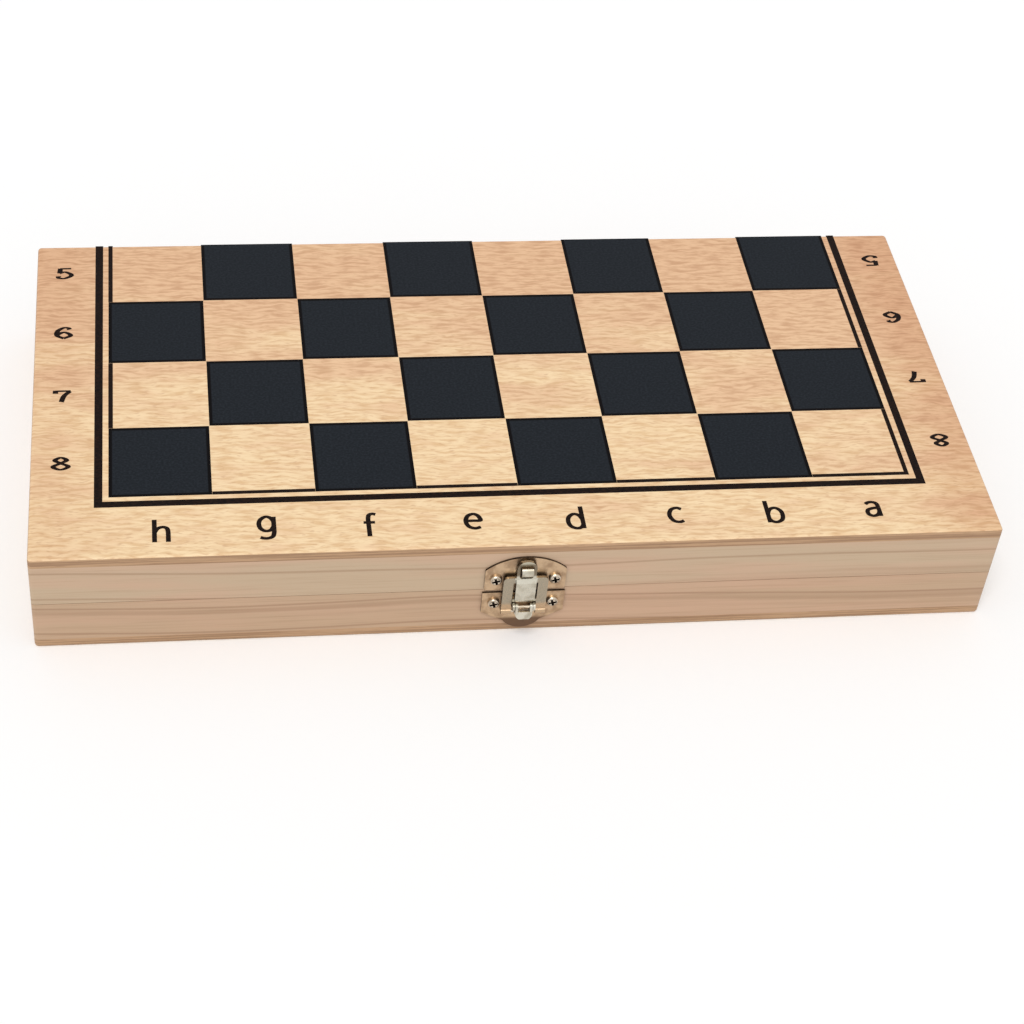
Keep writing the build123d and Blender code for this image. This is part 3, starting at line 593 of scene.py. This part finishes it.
# Pen strokes of each numeral, in a unit box
numeral_strokes = {
    "1": [
        ([(0.22, 0.80), (0.38, 0.88), (0.52, 0.98)], True),
        ([(0.54, 1.0), (0.54, 0.0)], False),
        ([(0.24, 0.04), (0.84, 0.04)], False),
    ],
    "2": [
        ([(0.18, 0.72), (0.18, 0.88), (0.50, 0.97), (0.82, 0.76), (0.56, 0.40), (0.12, 0.06)], True),
        ([(0.10, 0.05), (0.90, 0.05)], False),
        ([(0.88, 0.02), (0.90, 0.26)], False),
    ],
    "3": [
        ([(0.18, 0.78), (0.22, 0.92), (0.52, 0.97), (0.80, 0.78), (0.62, 0.58), (0.42, 0.54)], True),
        ([(0.42, 0.54), (0.66, 0.52), (0.88, 0.28), (0.50, 0.03), (0.16, 0.10), (0.13, 0.24)], True),
    ],
    "4": [
        ([(0.62, 0.98), (0.08, 0.30)], False),
        ([(0.05, 0.29), (0.96, 0.29)], False),
        ([(0.68, 1.0), (0.68, 0.0)], False),
        ([(0.46, 0.04), (0.92, 0.04)], False),
    ],
    "5": [
        ([(0.22, 0.94), (0.84, 0.94)], False),
        ([(0.24, 0.96), (0.20, 0.50)], False),
        ([(0.20, 0.52), (0.52, 0.62), (0.86, 0.32), (0.50, 0.03), (0.17, 0.08), (0.14, 0.24)], True),
    ],
    "6": [
        ([(0.80, 0.80), (0.74, 0.93), (0.50, 0.97), (0.18, 0.70), (0.14, 0.30), (0.50, 0.03)], True),
        ([(0.50, 0.03), (0.87, 0.29), (0.52, 0.57), (0.16, 0.36)], True),
    ],
    "7": [
        ([(0.12, 0.70), (0.13, 0.96)], False),
        ([(0.10, 0.91), (0.92, 0.91)], False),
        ([(0.90, 0.90), (0.58, 0.50), (0.44, 0.0)], True),
    ],
    "8": [
        (
            [(0.50, 0.53), (0.79, 0.76), (0.50, 0.97), (0.21, 0.76), (0.50, 0.53), (0.88, 0.26), (0.50, 0.03),
             (0.12, 0.26), (0.50, 0.53)],
            True,
        ),
    ],
}


def smooth_path(points):
    """Points of a curve that passes smoothly through the given ones, closed when it ends where it began."""
    closed = points[0] == points[-1]
    before = points[-2] if closed else points[0]
    after = points[1] if closed else points[-1]
    padded = [Vector(p) for p in (before, *points, after)]
    path = []
    for a, b, c, d in zip(padded, padded[1:], padded[2:], padded[3:]):
        for step in range(curve_steps):
            t = step / curve_steps
            pull = 2 * b + (c - a) * t + (2 * a - 5 * b + 4 * c - d) * t**2 + (3 * b - a - 3 * c + d) * t**3
            path.append(pull / 2)
    return path + [padded[-2]]


def stroke_faces(points, smooth, width, height, pen):
    """Corners and faces of one pen stroke over a box of that width and height.

    pen holds its widths, as shares of the height, where the stroke runs up or down and where it runs across.
    """
    if smooth:
        path = smooth_path(points)
    else:
        path = [Vector(p) for p in points]
    path = [Vector((p.x * width, p.y * height)) for p in path]
    tall, flat = pen
    corners, faces = [], []
    for number, point in enumerate(path):
        run = (path[min(number + 1, len(path) - 1)] - path[max(number - 1, 0)]).normalized()
        half = (flat + (tall - flat) * abs(run.y) ** 1.5) / 2 * height
        across = Vector((-run.y, run.x)) * half
        corners += [point + across, point - across]
        if number:
            last = len(corners)
            faces.append((last - 4, last - 3, last - 1, last - 2))
    return corners, faces


def print_on(name, strokes, size, pen, centre, turned, half):
    """A thin layer of ink centred on a place of a playing face, and turned half round when asked."""
    top = half == "upper"
    flip = 1 if top else -1
    sign = -1 if turned else 1
    corners, faces = [], []
    for points, smooth in strokes:
        more, found = stroke_faces(points, smooth, *size, pen)
        faces += [tuple(index + len(corners) for index in face) for face in found]
        corners += more
    middle_x = (min(p.x for p in corners) + max(p.x for p in corners)) / 2
    middle_y = (min(p.y for p in corners) + max(p.y for p in corners)) / 2
    placed = []
    for number, corner in enumerate(corners):
        x = centre[0] + flip * sign * (corner.x - middle_x)
        y = centre[1] + sign * (corner.y - middle_y)
        rise = ink_thickness + number // 2 * pen_lift
        placed.append(Vector((x, y, top_z + rise if top else bottom_z - rise)))
    mesh = bpy.data.meshes.new(name)
    mesh.from_pydata(placed, [], faces)
    mesh.materials.append(black_ink)
    piece = bpy.data.objects.new(name, mesh)
    bpy.context.scene.collection.objects.link(piece)
    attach(piece, f"{half}_half")


def numeral(digit, x, y, half):
    """A numeral in a side margin: on the open board those on either side face one player."""
    turned = (x > 0) == (half == "upper")
    side = "right" if x > 0 else "left"
    name = f"{half}_number_{digit}_{side}"
    size = (numeral_width, numeral_height)
    print_on(name, numeral_strokes[digit], size, numeral_pen, (x, y), turned, half)


def file_letters(half):
    """The file letters in the front margin, h to a from the left as seen from the front."""
    for number, letter in enumerate("hgfedcba"):
        x = board_left + (number + 0.5) * square
        centre = (x, front_y + letter_middle)
        size = (x_height, x_height)
        print_on(f"{half}_letter_{letter}", letter_strokes[letter], size, letter_pen, centre, False, half)


for row in range(ranks_per_half):
    y = board_front + (row + 0.5) * square
    for side in (-1, 1):
        x = side * (files / 2 * square + numeral_from_board)
        numeral(str(2 * ranks_per_half - row), x, y, "upper")
        numeral(str(1 + row), x, y, "lower")
file_letters("upper")
file_letters("lower")


# Floor, light and camera
def make_floor():
    """A floor that is pure white to the camera and throws a little less light back."""
    half = floor_size / 2
    mesh = bpy.data.meshes.new("floor")
    z = bottom_z - floor_drop
    corners = [(-half, -half, z), (half, -half, z), (half, half, z), (-half, half, z)]
    mesh.from_pydata(corners, [], [(0, 1, 2, 3)])
    n = Nodes("floor")
    path = n.node("ShaderNodeLightPath")
    seen = n.math("MAXIMUM", path.outputs["Is Camera Ray"], path.outputs["Is Glossy Ray"])
    n.finish(n.mix(seen, colour(*floor_bounce), white), 0.9, gloss=0.0)
    mesh.materials.append(n.material)
    floor = bpy.data.objects.new("floor", mesh)
    bpy.context.scene.collection.objects.link(floor)


def make_world():
    """Even light from all around, with a pure white backdrop."""
    world = bpy.data.worlds.new("studio")
    world.use_nodes = True
    tree = world.node_tree
    tree.nodes.clear()
    path = tree.nodes.new("ShaderNodeLightPath")
    seen = tree.nodes.new("ShaderNodeMath")
    seen.operation = "MAXIMUM"
    clear = tree.nodes.new("ShaderNodeMath")
    clear.operation = "MAXIMUM"
    lighting = tree.nodes.new("ShaderNodeBackground")
    lighting.inputs["Strength"].default_value = world_strength
    lighting.inputs["Color"].default_value = white
    backdrop = tree.nodes.new("ShaderNodeBackground")
    backdrop.inputs["Strength"].default_value = 1.0
    backdrop.inputs["Color"].default_value = white
    choice = tree.nodes.new("ShaderNodeMixShader")
    output = tree.nodes.new("ShaderNodeOutputWorld")
    link = tree.links.new
    link(path.outputs["Is Camera Ray"], seen.inputs[0])
    link(path.outputs["Is Glossy Ray"], seen.inputs[1])
    link(seen.outputs[0], clear.inputs[0])
    link(path.outputs["Is Transmission Ray"], clear.inputs[1])
    link(clear.outputs[0], choice.inputs["Fac"])
    link(lighting.outputs[0], choice.inputs[1])
    link(backdrop.outputs[0], choice.inputs[2])
    link(choice.outputs[0], output.inputs["Surface"])
    bpy.context.scene.world = world


def make_key():
    lamp = bpy.data.lights.new("key", "SUN")
    lamp.energy = key_strength
    lamp.angle = key_softness
    holder = bpy.data.objects.new("key", lamp)
    holder.rotation_euler = key_turn
    bpy.context.scene.collection.objects.link(holder)


def make_camera():
    """The camera that took the photograph, with its roll and its sideways shift."""
    data = bpy.data.cameras.new("camera")
    data.lens = camera_lens_mm
    data.shift_x = camera_shift_x
    data.clip_start = 0.01
    data.clip_end = 50.0
    ahead = Vector(
        (
            sin(camera_azimuth) * cos(camera_elevation),
            cos(camera_azimuth) * cos(camera_elevation),
            -sin(camera_elevation),
        )
    )
    level_right = ahead.cross(Vector((0, 0, 1))).normalized()
    level_up = level_right.cross(ahead)
    right = cos(camera_roll) * level_right + sin(camera_roll) * level_up
    up = cos(camera_roll) * level_up - sin(camera_roll) * level_right
    camera = bpy.data.objects.new("camera", data)
    turn = Matrix((right, up, -ahead)).transposed().to_4x4()
    camera.matrix_world = Matrix.Translation(camera_place) @ turn
    bpy.context.scene.collection.objects.link(camera)
    bpy.context.scene.camera = camera


make_floor()
make_world()
make_key()
make_camera()
bpy.context.scene.view_settings.view_transform = "Standard"
